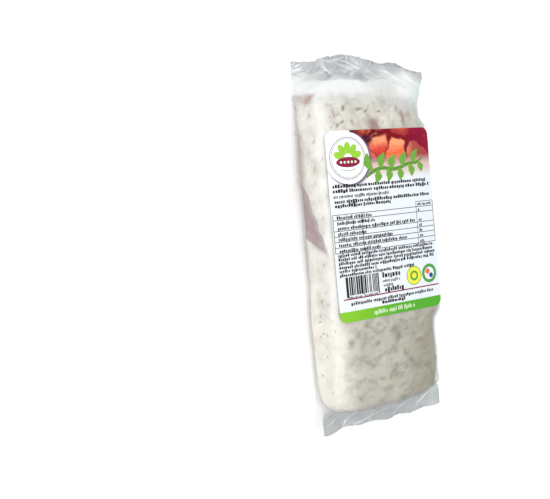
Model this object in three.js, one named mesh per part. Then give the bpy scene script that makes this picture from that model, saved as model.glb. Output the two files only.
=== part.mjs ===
// A tempeh cake sealed in a clear film pouch, lying on its back with its label up.
// Millimetres, +Z up, +Y towards the head of the label, +X to the label's right.
// The origin is the middle of the flat face that the pack rests on.
import * as THREE from "three";

// Driving dimensions
const cake = { length: 197, width: 80.6, thickness: 29 };
const pouch = {
  flatWidth: 92, // the pouch lying flat, seen at its seams
  flatShift: 1.4, // how far the seams sit to the right of the cake's middle
  seamThickness: 1.2,
  headReach: 9.6, // film past the head end of the cake
  footReach: 10.5,
  foldProud: 3, // how far the pouch's folded long edges stand off the sides
  restClip: 0.9, // how much of the rounded back is pressed flat on the table
};
const label = {
  width: 75.4,
  height: 110,
  centreX: 3.1,
  centreY: 13,
  cornerPower: 22, // a higher power makes the corners sharper
  thickness: 0.4,
  gap: 0.3, // clearance over the pouch
  pressedAtHead: 37, // past this distance from the middle the paper runs on straight
  pressedAtFoot: 30,
};
const roundness = { section: 4.8, underLabelLeft: 5.2, underLabelRight: 7.5, ends: 7 };
const beans = { pitch: 9.4, longRadius: 5.2, shortRadius: 3.6, height: 0.75, seed: 7 };
const grid = { across: 20, through: 6, bodyRows: 50, endRows: 7, seamRows: 4 };

const halfLength = cake.length / 2;
const halfWidth = cake.width / 2;
const halfThickness = cake.thickness / 2 + pouch.restClip / 2;
const middleHeight = cake.thickness / 2 - pouch.restClip / 2;

const clamp01 = (t) => Math.min(1, Math.max(0, t));
const mix = (a, b, t) => a + (b - a) * t;
const smooth = (from, to, value) => {
  const t = clamp01((value - from) / (to - from));
  return t * t * (3 - 2 * t);
};
const hump = (value, centre, reach) => Math.exp(-(((value - centre) / reach) ** 2));

// What a point of a square is divided by to round the square off. A high power keeps it square.
function rounding(a, b, power) {
  const far = Math.max(Math.abs(a), Math.abs(b));
  if (far === 0) return 1;
  return (Math.abs(a) ** power + Math.abs(b) ** power) ** (1 / power) / far;
}

// Repeatable random numbers from 0 to 1.
function randomFrom(seed) {
  let state = seed;
  return () => {
    state = (Math.imul(state, 1664525) + 1013904223) >>> 0;
    return state / 4294967296;
  };
}

// The soybeans that swell the top face: one to each cell of a jittered lattice.
function scatterBeans() {
  const random = randomFrom(beans.seed);
  const found = [];
  for (let y = -halfLength + 5; y < halfLength - 4; y += beans.pitch) {
    for (let x = -halfWidth + 4; x < halfWidth - 3; x += beans.pitch) {
      found.push({
        x: x + (random() - 0.2) * beans.pitch * 0.7,
        y: y + (random() - 0.2) * beans.pitch * 0.7,
        turn: random() * Math.PI,
        height: beans.height * mix(0.35, 1, random()),
      });
    }
  }
  return found;
}
const beanList = scatterBeans();

function beanRelief(x, y) {
  let rise = 0;
  for (const bean of beanList) {
    const dx = x - bean.x;
    const dy = y - bean.y;
    if (Math.abs(dx) > 12 || Math.abs(dy) > 12) continue;
    const along = dx * Math.cos(bean.turn) + dy * Math.sin(bean.turn);
    const across = dy * Math.cos(bean.turn) - dx * Math.sin(bean.turn);
    const far = (along / beans.longRadius) ** 2 + (across / beans.shortRadius) ** 2;
    rise = Math.max(rise, bean.height * Math.exp(-far));
  }
  return rise;
}

// 1 under the label and its margins, 0 clear of it.
function underLabel(y) {
  const from = label.centreY - label.height / 2;
  const to = label.centreY + label.height / 2;
  return smooth(from - 10, from - 1, y) * (1 - smooth(to + 1, to + 8, y));
}

// How full the pouch is at a place: 1 over the cake, falling to 0 in the seams.
function fullness(x, y) {
  const end = halfLength * (1 - 0.06 * Math.abs(x / halfWidth) ** 4);
  const over = clamp01(Math.abs(y) / end);
  const rounded = (1 - over ** roundness.ends) ** (1 / roundness.ends);
  const tented = 0.62 * (1 - smooth(end - 4, end + 7, Math.abs(y)));
  return Math.max(rounded, tented);
}

// Height of the middle of the film in the seams.
function seamHeight(x, y) {
  if (y > 0) return 17.5 + 0.03 * x + 1.4 * Math.sin(x / 6.5) + 0.6 * Math.sin(x / 3.1 + 1);
  return 13.5 - 0.04 * x + 1.3 * Math.sin(x / 7.5 + 2) + 0.6 * Math.sin(x / 3.4);
}

// Distance from the middle of the cake to the cut edge of the film.
function seamEnd(x, y) {
  if (y > 0) {
    const arch = 5 * hump(x, -12, 15) + hump(x, 24, 8) - 4.6 * smooth(29, 43, x);
    return halfLength + pouch.headReach + arch + 0.4 * Math.sin(x / 2.7);
  }
  return halfLength + pouch.footReach + 1.2 * Math.sin(x / 15) + 0.5 * Math.sin(x / 3.3 + 1);
}

// Half-width of the pouch on one side: the cake's over the cake, the flat pouch's in the seams.
function reach(side, y) {
  const bulge = side > 0 ? 2.2 * underLabel(y) + 1.8 * hump(y, -42, 9) : 0;
  const uneven = 0.4 * Math.sin(y / 17 + side) + 0.3 * Math.sin(y / 7.3 - side);
  const open = smooth(halfLength - 17, halfLength + 3, Math.abs(y));
  return mix(halfWidth + bulge + uneven, pouch.flatWidth / 2 + side * pouch.flatShift, open);
}

function sectionPower(side, y) {
  const pressed = side > 0 ? roundness.underLabelRight : roundness.underLabelLeft;
  return mix(roundness.section, pressed, underLabel(y));
}

// Distances of the grid's rows from the middle: even over the cake, closer at its ends.
function rowPlaces() {
  const turn = halfLength - 14;
  const places = [];
  for (let i = 1; i <= grid.bodyRows / 2; i += 1) places.push((turn * i) / (grid.bodyRows / 2));
  for (let i = 1; i <= grid.endRows; i += 1) {
    places.push(turn + 15.5 * Math.sin(((Math.PI / 2) * i) / grid.endRows));
  }
  for (let i = 1; i <= grid.seamRows; i += 1) places.push([i / grid.seamRows]);
  return places;
}
const rows = rowPlaces();

// A row's y at a place across it. A seam row is a share of the way to the cut edge.
function rowY(index, x) {
  if (index === 0) return 0;
  const place = rows[Math.abs(index) - 1];
  const side = Math.sign(index);
  if (!Array.isArray(place)) return side * place;
  const start = rows[rows.length - grid.seamRows - 1];
  return side * mix(start, seamEnd(x, side), place[0]);
}

// Moves a point of the unit box's skin to its place on the pouch.
function onPouch(u, v, w) {
  const side = u < 0 ? -1 : 1;
  const rowIndex = Math.round(v * rows.length);
  const level = rowY(rowIndex, u * halfWidth);
  const power = sectionPower(side, level);
  const shrink = rounding(u, w, power);
  const x = (reach(side, level) * u) / shrink;
  const y = rowY(rowIndex, x);
  const full = fullness(x, y);
  const middle = mix(seamHeight(x, y), middleHeight, full);
  const half = mix(pouch.seamThickness / 2, halfThickness, full);
  let z = middle + (half * w) / shrink;
  if (w > 0) z += beanRelief(x, y) * full * mix(1, 0.2, underLabel(y)) * (w / shrink) ** 2;
  const proud = pouch.foldProud * (1 - 0.4 * smooth(-60, 60, y));
  const fold = proud * hump(z, 10 + 0.02 * y, 4.5) * full * Math.abs(u / shrink) ** 12;
  return new THREE.Vector3(x + side * fold, y, Math.max(0, z));
}

// Height of the pouch's top face, without its beans.
function topHeight(x, y) {
  const side = x < 0 ? -1 : 1;
  const power = sectionPower(side, y);
  const share = (1 - clamp01(Math.abs(x) / reach(side, y)) ** power) ** (1 / power);
  return middleHeight + halfThickness * share;
}

// Height of the label's back: pressed on the film, then straight on past its round edge.
function labelHeight(x, y) {
  const side = Math.sign(x);
  const limit = mix(label.pressedAtFoot, label.pressedAtHead, smooth(-42, 68, y));
  const pressed = side * Math.min(Math.abs(x), limit);
  const fall = topHeight(pressed - side, y) - topHeight(pressed, y);
  const past = Math.abs(x - pressed);
  return topHeight(pressed, y) + 0.2 * beans.height + label.gap - fall * past;
}

// Moves a point of the unit box's skin to its place on the label.
function onLabel(u, v, w) {
  const shrink = rounding(u, v, label.cornerPower);
  const x = label.centreX + ((label.width / 2) * u) / shrink;
  const y = label.centreY + ((label.height / 2) * v) / shrink;
  return new THREE.Vector3(x, y, labelHeight(x, y) + (w > 0 ? label.thickness : 0));
}

// A box with a grid on each face, every corner of the grid moved by place(u, v, w).
function shapedBox(across, along, through, place) {
  const geometry = new THREE.BoxGeometry(2, 2, 2, across, along, through);
  const points = geometry.getAttribute("position");
  for (let i = 0; i < points.count; i += 1) {
    const moved = place(points.getX(i), points.getY(i), points.getZ(i));
    points.setXYZ(i, moved.x, moved.y, moved.z);
  }
  geometry.deleteAttribute("uv");
  geometry.computeVertexNormals();
  return geometry;
}

function makePouch() {
  const geometry = shapedBox(grid.across, 2 * rows.length, grid.through, onPouch);
  const material = new THREE.MeshStandardMaterial({ color: 0xe6e2d8, roughness: 0.3, metalness: 0 });
  const mesh = new THREE.Mesh(geometry, material);
  mesh.name = "sealed_pack";
  return mesh;
}

function makeLabel() {
  const geometry = shapedBox(14, 18, 1, onLabel);
  const material = new THREE.MeshStandardMaterial({ color: 0xf2f3f5, roughness: 0.45, metalness: 0 });
  const mesh = new THREE.Mesh(geometry, material);
  mesh.name = "paper_label";
  return mesh;
}

const pack = new THREE.Group();
pack.add(makePouch(), makeLabel());
export default pack;
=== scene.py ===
import math
import random

import bmesh
import bpy
from mathutils import Matrix, Vector, noise


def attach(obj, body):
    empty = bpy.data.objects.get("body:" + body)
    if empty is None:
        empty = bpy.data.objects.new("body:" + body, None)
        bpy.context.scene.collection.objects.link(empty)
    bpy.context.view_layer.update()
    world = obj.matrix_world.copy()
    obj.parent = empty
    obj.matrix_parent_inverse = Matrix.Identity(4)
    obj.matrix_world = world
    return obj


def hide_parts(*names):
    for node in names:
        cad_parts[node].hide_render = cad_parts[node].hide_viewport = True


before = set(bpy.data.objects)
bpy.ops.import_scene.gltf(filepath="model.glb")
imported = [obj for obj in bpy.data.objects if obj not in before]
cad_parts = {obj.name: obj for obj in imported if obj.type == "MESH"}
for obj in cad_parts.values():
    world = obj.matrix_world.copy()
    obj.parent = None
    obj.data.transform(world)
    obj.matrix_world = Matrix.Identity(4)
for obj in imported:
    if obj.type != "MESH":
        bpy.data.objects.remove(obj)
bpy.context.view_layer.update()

mm = 0.001
noise.seed_set(5)   # vector noise would start from the clock


def clamp(value, low=0.0, high=1.0):
    return min(high, max(low, value))


def mix(a, b, share):
    return a + (b - a) * share


def smooth(low, high, value):
    share = clamp((value - low) / (high - low))
    return share * share * (3 - 2 * share)


def hump(value, centre, reach):
    return math.exp(-((value - centre) / reach) ** 2)


def wobble(x, y, z=0.0):
    return noise.noise(Vector((x, y, z)))


def roundedBy(a, b, power):
    # what a point of a square is divided by to round the square off
    far = max(abs(a), abs(b))
    if far == 0:
        return 1.0
    return (abs(a) ** power + abs(b) ** power) ** (1 / power) / far


def distanceToLine(x, y, start, end):
    # distance from a line piece, and how far along it the nearest place is
    runX, runY = end[0] - start[0], end[1] - start[1]
    share = clamp(((x - start[0]) * runX + (y - start[1]) * runY) / (runX * runX + runY * runY))
    return math.hypot(x - start[0] - share * runX, y - start[1] - share * runY), share


def onLine(x, points):
    # the value of a broken line at x
    for (x0, y0), (x1, y1) in zip(points, points[1:]):
        if x <= x1:
            return mix(y0, y1, smooth(x0, x1, x))
    return points[-1][1]


def insideShape(a, b, corners, soft):
    # 1 well inside a many-sided shape, falling to 0 just outside it
    within = False
    near = 1e9
    for i, start in enumerate(corners):
        end = corners[i - 1]
        near = min(near, distanceToLine(a, b, start, end)[0])
        if (start[1] > b) != (end[1] > b):
            if a < (end[0] - start[0]) * (b - start[1]) / (end[1] - start[1]) + start[0]:
                within = not within
    return smooth(-soft, soft, near if within else -near)


def markShare(a, b, ovals):
    # the strongest of a list of oval marks at a place
    most = 0.0
    for centreA, centreB, long, short, degrees, strength in ovals:
        da, db = a - centreA, b - centreB
        if abs(da) > 3 * long or abs(db) > 3 * long:
            continue
        turn = math.radians(degrees)
        along = da * math.cos(turn) + db * math.sin(turn)
        across = db * math.cos(turn) - da * math.sin(turn)
        far = (along / long) ** 2 + (across / short) ** 2
        most = max(most, strength * math.exp(-far * 0.68))
    return most


def creaseAt(a, b, creases):
    # the strongest crease at a place, each fading out at its two ends
    most = 0.0
    for points, width, strength in creases:
        for i in range(len(points) - 1):
            away, share = distanceToLine(a, b, points[i], points[i + 1])
            if away < 3 * width:
                along = (i + share) / (len(points) - 1)
                taper = 0.4 + 0.6 * math.sin(math.pi * clamp(along, 0.04, 0.96))
                most = max(most, strength * taper * math.exp(-(away / width) ** 2))
    return most


def gridBox(cuts):
    # a cube from -1 to 1 with a grid of cuts on each face
    bm = bmesh.new()
    bmesh.ops.create_cube(bm, size=2.0)
    for axis in (2, 0, 1):
        along = [e for e in bm.edges if abs(e.verts[0].co[axis] - e.verts[1].co[axis]) > 1e-6]
        bmesh.ops.subdivide_edges(bm, edges=along, cuts=cuts[axis], use_grid_fill=True)
    return bm


def newLayers(bm, names):
    return {name: bm.verts.layers.float.new(name) for name in names}


def makePiece(name, bm, material, node, smoothFaces=True):
    bmesh.ops.recalc_face_normals(bm, faces=bm.faces[:])
    mesh = bpy.data.meshes.new(name)
    bm.to_mesh(mesh)
    bm.free()
    if smoothFaces:
        mesh.polygons.foreach_set("use_smooth", [True] * len(mesh.polygons))
    mesh.materials.append(material)
    piece = bpy.data.objects.new(name, mesh)
    bpy.context.scene.collection.objects.link(piece)
    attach(piece, "root")
    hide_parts(node)
    print(name, len(mesh.polygons), "faces")


# The pack lies on its back, its head towards +y. All sizes are in millimetres.
# Marks on the top are given in x and y, those on the left side in y and girth,
# which is measured up the side and on over the top.
cake = {
    "length": 197.0, "width": 80.6, "thickness": 29.0,
    "pressed": 0.45,         # how much of its round back is pressed flat
    "sectionPower": 4.8, "endPower": 7.0,   # a higher power is squarer
    "cornerPower": 13, "cornerMost": 1.35,  # its corners seen from above
    "inset": 0.45,           # how far inside the film it lies
    "endsFrom": 70,          # past this the film could cut into it
    "lowest": 0.35,          # its underside over the table
    "foldShare": 0.7,        # how much of the film's side fold it fills
    "foldDent": 0.6,         # how deep the folds of painted shade are pressed in
    "beanPitch": 8.6, "beanRise": 0.6, "beanUnderLabel": 0.3,
    "cuts": (112, 264, 38),
    # ovals: centre, half length, half width, turn in degrees, strength
    "topMarks": {"speck": [
        (-30.6, 83.4, 1.5, 0.9, 150, 0.45), (-27.3, 79.8, 1.2, 0.9, 60, 0.6), (-28.9, 76.5, 1, 0.7, 110, 0.55),
        (-26.4, 77, 0.9, 0.7, 20, 0.5), (-24, 76.8, 1.2, 0.6, 10, 0.5), (-19.7, 80.7, 1.7, 1.1, 80, 0.95),
        (-20.4, 82.6, 0.9, 0.6, 80, 0.45), (-9.1, 80.3, 2, 0.9, 5, 0.85), (-3.9, 79.3, 1.5, 1, 35, 0.85),
        (-1.6, 81.4, 1.6, 1, 60, 0.5), (2.5, 83.9, 1.5, 0.8, 140, 0.45), (5.5, 79.1, 2.1, 0.8, 0, 0.8),
        (19.4, 79.8, 1.4, 0.9, 80, 0.75), (13.5, 76.8, 2.6, 0.6, 85, 0.5), (7.7, 72, 1.5, 0.9, 30, 0.45),
        (11.4, 72.5, 1.4, 0.8, 70, 0.5), (16, 72.6, 1.6, 0.7, 20, 0.45), (-25, 70.9, 1.6, 0.8, 55, 0.85),
        (-22, 73, 1.7, 0.6, 40, 0.85), (-14.6, 73, 2, 0.9, 95, 0.6), (-26.6, 72, 1, 0.8, 80, 0.75),
        (-29, 70.8, 1, 0.7, 30, 0.55), (-18.6, 68.6, 1.4, 0.6, 0, 0.8), (-26.9, 83.2, 0.9, 0.5, 40, 0.3),
        (-35.5, -49, 0.9, 0.5, 60, 0.3), (-31, -61, 1.1, 0.6, 20, 0.4), (-33, -72, 1, 0.6, 100, 0.4),
        (6, -79, 1.4, 0.7, 30, 0.4), (-14, -70, 1.3, 0.7, 160, 0.4), (24, -75, 1.2, 0.7, 20, 0.4),
    ], "deep": [
        (-2.4, 73.2, 4.9, 3.8, 120, 0.68), (23.8, 73, 4.4, 1.5, 104, 0.55), (-27.5, 74, 3.4, 2.2, 60, 0.36),
        (-21.5, 79, 3, 2, 30, 0.4), (-21, 71.2, 3.2, 1.6, 25, 0.42), (-28.5, 81.5, 2.4, 1.6, 120, 0.34),
        (18, 79.5, 3, 2, 70, 0.34), (27, 71.5, 3, 1.8, 20, 0.34), (-17.9, 83.2, 2.6, 1.8, 20, 0.5),
        (-10.8, 85.8, 4.6, 0.8, 175, 0.45), (8.9, 85.5, 3.6, 3.6, 0, 0.5), (12.5, 80, 4, 1.4, 30, 0.35),
        (16.5, 71, 3.5, 1.2, 10, 0.4), (-11, 77, 3, 1.6, 150, 0.22), (28, 77, 3, 1.6, 100, 0.3),
        (-16.1, -45.8, 2.4, 1.7, 10, 0.6), (-27.6, -55.4, 2.6, 2, 60, 0.65), (-18.9, -57.2, 2.4, 1.4, 50, 0.7),
        (-22.4, -51.6, 2, 2.2, 90, 0.45), (-17, -51.3, 2.6, 1.2, 20, 0.5), (-12, -53, 3, 1.2, 10, 0.55),
        (-6.5, -51.4, 4, 1.6, 15, 0.6), (-9.5, -57.6, 3.4, 1.8, 5, 0.8), (3.3, -51.6, 1.9, 1.4, 20, 0.85),
        (6.7, -56.7, 2.4, 2.8, 80, 0.95), (15, -48.6, 4.2, 1.5, 15, 0.6), (21.7, -47.6, 2.6, 1.4, 20, 0.5),
        (25.6, -51.5, 1.6, 1.9, 60, 0.75), (21, -56, 4, 2.2, 30, 0.45), (22.8, -61.2, 3, 1.4, 10, 0.8),
        (29.5, -60, 2.4, 2, 40, 0.6), (-2, -64.5, 4, 2, 10, 0.6), (12, -67.5, 3, 2.2, 150, 0.7),
        (-15, -67, 3.6, 1.8, 20, 0.5), (-26, -71, 3, 1.8, 0, 0.4), (3, -74.5, 3, 2.2, 60, 0.65),
        (20, -76.5, 4.2, 2, 10, 0.7), (-9, -80, 4, 1.8, 170, 0.55), (29, -71, 2.4, 2.6, 90, 0.6),
        (-20, -86, 3.4, 1.8, 20, 0.45), (9, -86.5, 4, 1.8, 5, 0.6), (27, -86, 3, 2, 120, 0.6),
    ], "pinkAndPaintedShade": [
        (0.8, 70.6, 4, 3.2, 115, 1), (22.6, 75.2, 5.6, 1.5, 104, 0.8), (-25.5, 78.2, 3.4, 2.6, 0, 0.42),
    ]},
    "sideMarks": {"speck": [
        (78.2, 20.5, 1.6, 1.3, 80, 0.35), (76, 28.1, 1.2, 0.8, 70, 0.4), (71.5, 28.4, 1.3, 0.7, 60, 0.4),
        (62.8, 24.2, 2.3, 1.3, 80, 0.55), (52.7, 31.1, 1.5, 1.1, 60, 0.7), (50.9, 27.7, 1, 0.8, 40, 0.4),
        (47.7, 22.2, 1.5, 1.2, 75, 0.5), (39.7, 21.9, 1.2, 0.9, 30, 0.5), (31.4, 32, 1.4, 0.8, 20, 0.65),
        (18.9, 26.6, 1.2, 0.8, 0, 0.8), (10.9, 26, 1.4, 0.8, 20, 0.65), (-7.8, 23, 1.9, 0.8, 50, 0.6),
        (-24, 21.7, 1.3, 0.8, 40, 0.6), (-29, 17.8, 1.2, 0.8, 60, 0.65), (-31, 24.6, 1.5, 0.9, 70, 0.75),
        (-37.9, 15, 1.2, 0.7, 20, 0.7), (-41.2, 14.6, 1.5, 0.7, 50, 0.75), (-46.3, 29.1, 1.2, 0.7, 20, 0.8),
        (-49.9, 13.3, 1, 0.9, 0, 0.75), (-48.6, 17.4, 1.7, 0.6, 90, 0.7), (-49.3, 21.6, 1.4, 0.7, 140, 0.75),
        (-53.5, 27, 1.2, 0.6, 30, 0.5), (-62, 19, 1.3, 0.7, 50, 0.6), (-74, 12, 1.4, 0.7, 110, 0.6),
        (-83, 21, 1.1, 0.7, 30, 0.6),
    ], "deep": [
        (78.5, 20.5, 3.4, 2.4, 80, 0.5), (-28, 14, 4, 2, 20, 0.3), (-60, 13, 5, 2.2, 15, 0.15),
        (68, 12, 5, 2.4, 30, 0.25), (-75, 22, 4, 1.8, 160, 0.2), (56, 18, 3, 1.6, 60, 0.22),
    ]},
    # painted shade on the left side, at the film's fold and low down where the side turns under: corners, tone,
    # strength, softness
    "paintedSideShades": [
        ([(52, 1), (38.7, 8.5), (32.8, 12.9), (23.3, 16.8), (12.8, 21.2), (7, 25.4), (-4.5, 30), (-0.5, 23.5),
          (3, 16.2), (6, 9.7), (9, 4), (15, 0)], "paintedSideShade", 0.8, 1.3),
        ([(49, 0), (38, 6), (27, 9.5), (14, 10.5), (7.5, 8), (9, 0)], "paintedSideShade", 0.6, 2),
        ([(86, 5), (60, 8), (50, 8), (0, 8), (-30, 4), (-80, 2), (-80, -4), (90, -4)], "paintedSideShade", 0.58, 3),
        ([(76, 9), (62, 12.4), (48, 12.6), (38, 12.4), (26, 14), (34, -4), (80, -4)], "pinkAndPaintedShade", 0.5, 4),
    ],
    # painted shade, with more mottling under it: strength, where they start and are full in x, and the same in
    # y
    "paintedShadeAndMottle": [
        (0.19, -33, -20, -200, -199), (0.12, 0, 30, -200, -199),
        (0.12, -40, -28, -20, -60), (0.12, 5, 25, 60, 75),
    ],
    # painted shade on the foot, darkest to its right: strength, where it starts and is full in x
    "paintedShadeAndMottleFoot": [(0.34, -36, -18), (0.2, 4, 24), (0.25, 30, 38)],
    "footStart": -36, "footFull": -50,
    "paintedLightStart": -26, "paintedLightFull": -44,      # painted light: the left side is painted paler towards its foot
}
halfLength = cake["length"] / 2
halfWidth = cake["width"] / 2
halfThickness = cake["thickness"] / 2 + cake["pressed"]
middleHeight = cake["thickness"] / 2 - cake["pressed"]


def underLabel(y):
    return smooth(labelFoot - 10, labelFoot - 1, y) * (1 - smooth(labelHead + 1, labelHead + 8, y))


def sideReach(side, y):
    # half width of the full pouch
    bulge = 2.2 * underLabel(y) + 1.8 * hump(y, -42, 9) if side > 0 else 0.0
    return halfWidth + bulge + 0.4 * math.sin(y / 17 + side) + 0.3 * math.sin(y / 7.3 - side)


def filmReach(side, y):
    # the same, opening out to the flat width of the seams
    opened = smooth(halfLength - 17, halfLength + 3, abs(y))
    return mix(sideReach(side, y), film["flatWidth"] / 2 + side * film["flatShift"], opened)


def sectionPower(side, y):
    return mix(cake["sectionPower"], film["rightPower"] if side > 0 else film["leftPower"], underLabel(y))


def seamHeight(x, y):
    if y > 0:
        return 17.5 + 0.03 * x + 1.4 * math.sin(x / 6.5) + 0.6 * math.sin(x / 3.1 + 1)
    return 13.5 - 0.04 * x + 1.3 * math.sin(x / 7.5 + 2) + 0.6 * math.sin(x / 3.4)


def seamEnd(x, y):
    # distance from the middle to the cut edge
    if y > 0:
        arch = 5 * hump(x, -12, 15) + hump(x, 24, 8) - 4.6 * smooth(29, 43, x) + onLine(x, film["headEdge"])
        return halfLength + film["headReach"] + arch + 0.4 * math.sin(x / 2.7) + 0.5 * wobble(x / 2.2, 5)
    return (halfLength + film["footReach"] + 1.2 * math.sin(x / 15) + 0.5 * math.sin(x / 3.3 + 1)
            + 0.5 * wobble(x / 2.2, 9))


def filmSection(x, y):
    # how full the pouch is, and the middle and half height of its section
    end = halfLength * (1 - 0.06 * abs(x / halfWidth) ** 4)
    over = clamp(abs(y) / end)
    rounded = (1 - over ** cake["endPower"]) ** (1 / cake["endPower"])
    full = max(rounded, film["tented"] * (1 - smooth(end - 4, end + 7, abs(y))))
    return full, mix(seamHeight(x, y), middleHeight, full), mix(film["seamHalf"], halfThickness, full)


def foldAt(side, y, z, full, share):
    # the pouch's folded long edges
    proud = film["foldProud"] * (1 - 0.4 * smooth(-60, 60, y))
    return side * proud * hump(z, 10 + 0.02 * y, 4.5) * full * abs(share) ** 12


def topHeight(x, y):
    side = -1 if x < 0 else 1
    power = sectionPower(side, y)
    share = (1 - clamp(abs(x) / sideReach(side, y)) ** power) ** (1 / power)
    return middleHeight + halfThickness * share


def beanField(point):
    # how far into a bean a place is, 0 to 1, and that bean's own random number
    warp = noise.noise_vector(point / 15) * 2.2
    near, centres = noise.voronoi((point + warp) / cake["beanPitch"])
    inside = 1 - smooth(0.16, 0.62, near[0])
    return inside, noise.cell(centres[0] * 7.13)


def cakeNormal(x, y, z, power):
    long = cake["endPower"]
    parts = ((x, halfWidth, power), (y, halfLength, long), (z, halfThickness, power))
    return Vector([math.copysign(abs(a / half) ** (p - 1) / half, a) for a, half, p in parts]).normalized()


def insideFilm(x, y, z):
    # draws a place of the cake's end in until it lies inside the film
    side = -1 if x < 0 else 1
    power = sectionPower(side, y)

    def fits(share):
        full, middle, half = filmSection(x * share, y)
        height = middleHeight + z * share - middle
        return abs(x * share / filmReach(side, y)) ** power + abs(height / half) ** power <= 1

    if abs(y) < cake["endsFrom"] or fits(1.0):
        return x, z
    low, high = 0.4, 1.0
    for _ in range(7):
        middle = (low + high) / 2
        low, high = (middle, high) if fits(middle) else (low, middle)
    return x * low, z * low


# painted shade: how much darker, and more mottled, a place is painted
def paintedShadeAndMottleAt(x, y, upward):
    foot = smooth(cake["footStart"], cake["footFull"], y) * smooth(-0.9, 0.3, upward)
    share = foot * sum(strength * smooth(start, full, x) for strength, start, full in cake["paintedShadeAndMottleFoot"])
    for strength, start, full, startY, fullY in cake["paintedShadeAndMottle"]:
        share += strength * smooth(start, full, x) * smooth(startY, fullY, y)
    return clamp(share)


def makeCake(material):
    bm = gridBox(cake["cuts"])
    layers = newLayers(bm, ("bean", "speck", "deep", "pinkAndPaintedShade", "paintedSideShade", "shade", "pale"))
    long, corner = cake["endPower"], cake["cornerPower"]
    for vert in bm.verts:
        u, v, w = vert.co
        side = -1 if u < 0 else 1
        power = sectionPower(side, v * halfLength)
        section = abs(u) ** power + abs(w) ** power
        spread = (section ** (long / power) + abs(v) ** long) ** (1 / long)
        x, y, z = u * halfWidth / spread, v * halfLength / spread, w * halfThickness / spread
        out = cakeNormal(x, y, z, power)
        # squarer corners seen from above than seen from the side
        ahead = min(0.9999, abs(y) / halfLength)
        square = (1 - ahead ** corner) ** (1 / corner) / (1 - ahead ** long) ** (1 / long)
        x *= min(cake["cornerMost"], square) * sideReach(side, y) / halfWidth
        x, z = insideFilm(x, y, z)
        place = Vector((x, y, z + middleHeight))
        place.x += cake["foldShare"] * foldAt(side, y, place.z, 1 - abs(v / spread) ** 20, u / spread)
        inside, pick = beanField(place)
        onTop = out.z > 0.5
        rise = cake["beanRise"] * inside * mix(0.3, 1.0, pick)
        if onTop and abs(x) < 36:
            rise *= mix(1.0, cake["beanUnderLabel"], underLabel(y))
        marks = {key: 0.0 for key in layers}
        warp = noise.noise_vector(place / 5) * 1.1 + noise.noise_vector(place / 1.9) * 0.5
        if onTop:
            for key, ovals in cake["topMarks"].items():
                marks[key] = markShare(x + warp.x, y + warp.y, ovals)
        girth = place.z + place.x + halfWidth
        if x < 0 and girth < 36 and out.z > -0.8:
            for key, ovals in cake["sideMarks"].items():
                marks[key] = max(marks[key], markShare(y + warp.y, girth + warp.z, ovals))
            # painted shade on the left side
            for corners, key, strength, soft in cake["paintedSideShades"]:
                share = strength * insideShape(y + 0.6 * warp.y, girth + 0.6 * warp.z, corners, soft)
                marks[key] = max(marks[key], share)
            rise -= cake["foldDent"] * max(marks["paintedSideShade"], marks["pinkAndPaintedShade"])
        place += out * (rise - cake["inset"] - cake["beanRise"])
        place.z = max(place.z, cake["lowest"])
        vert.co = place * mm
        marks["bean"] = inside * pick
        # painted light on the left side towards its foot
        marks["pale"] = (smooth(cake["paintedLightStart"], cake["paintedLightFull"], y) * (1 - smooth(-40, -24, x))
                         * smooth(-0.9, 0.0, out.z))
        marks["shade"] = paintedShadeAndMottleAt(x, y, out.z)
        for key, layer in layers.items():
            vert[layer] = marks[key]
    makePiece("tempehCake", bm, material, "sealed_pack")


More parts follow.
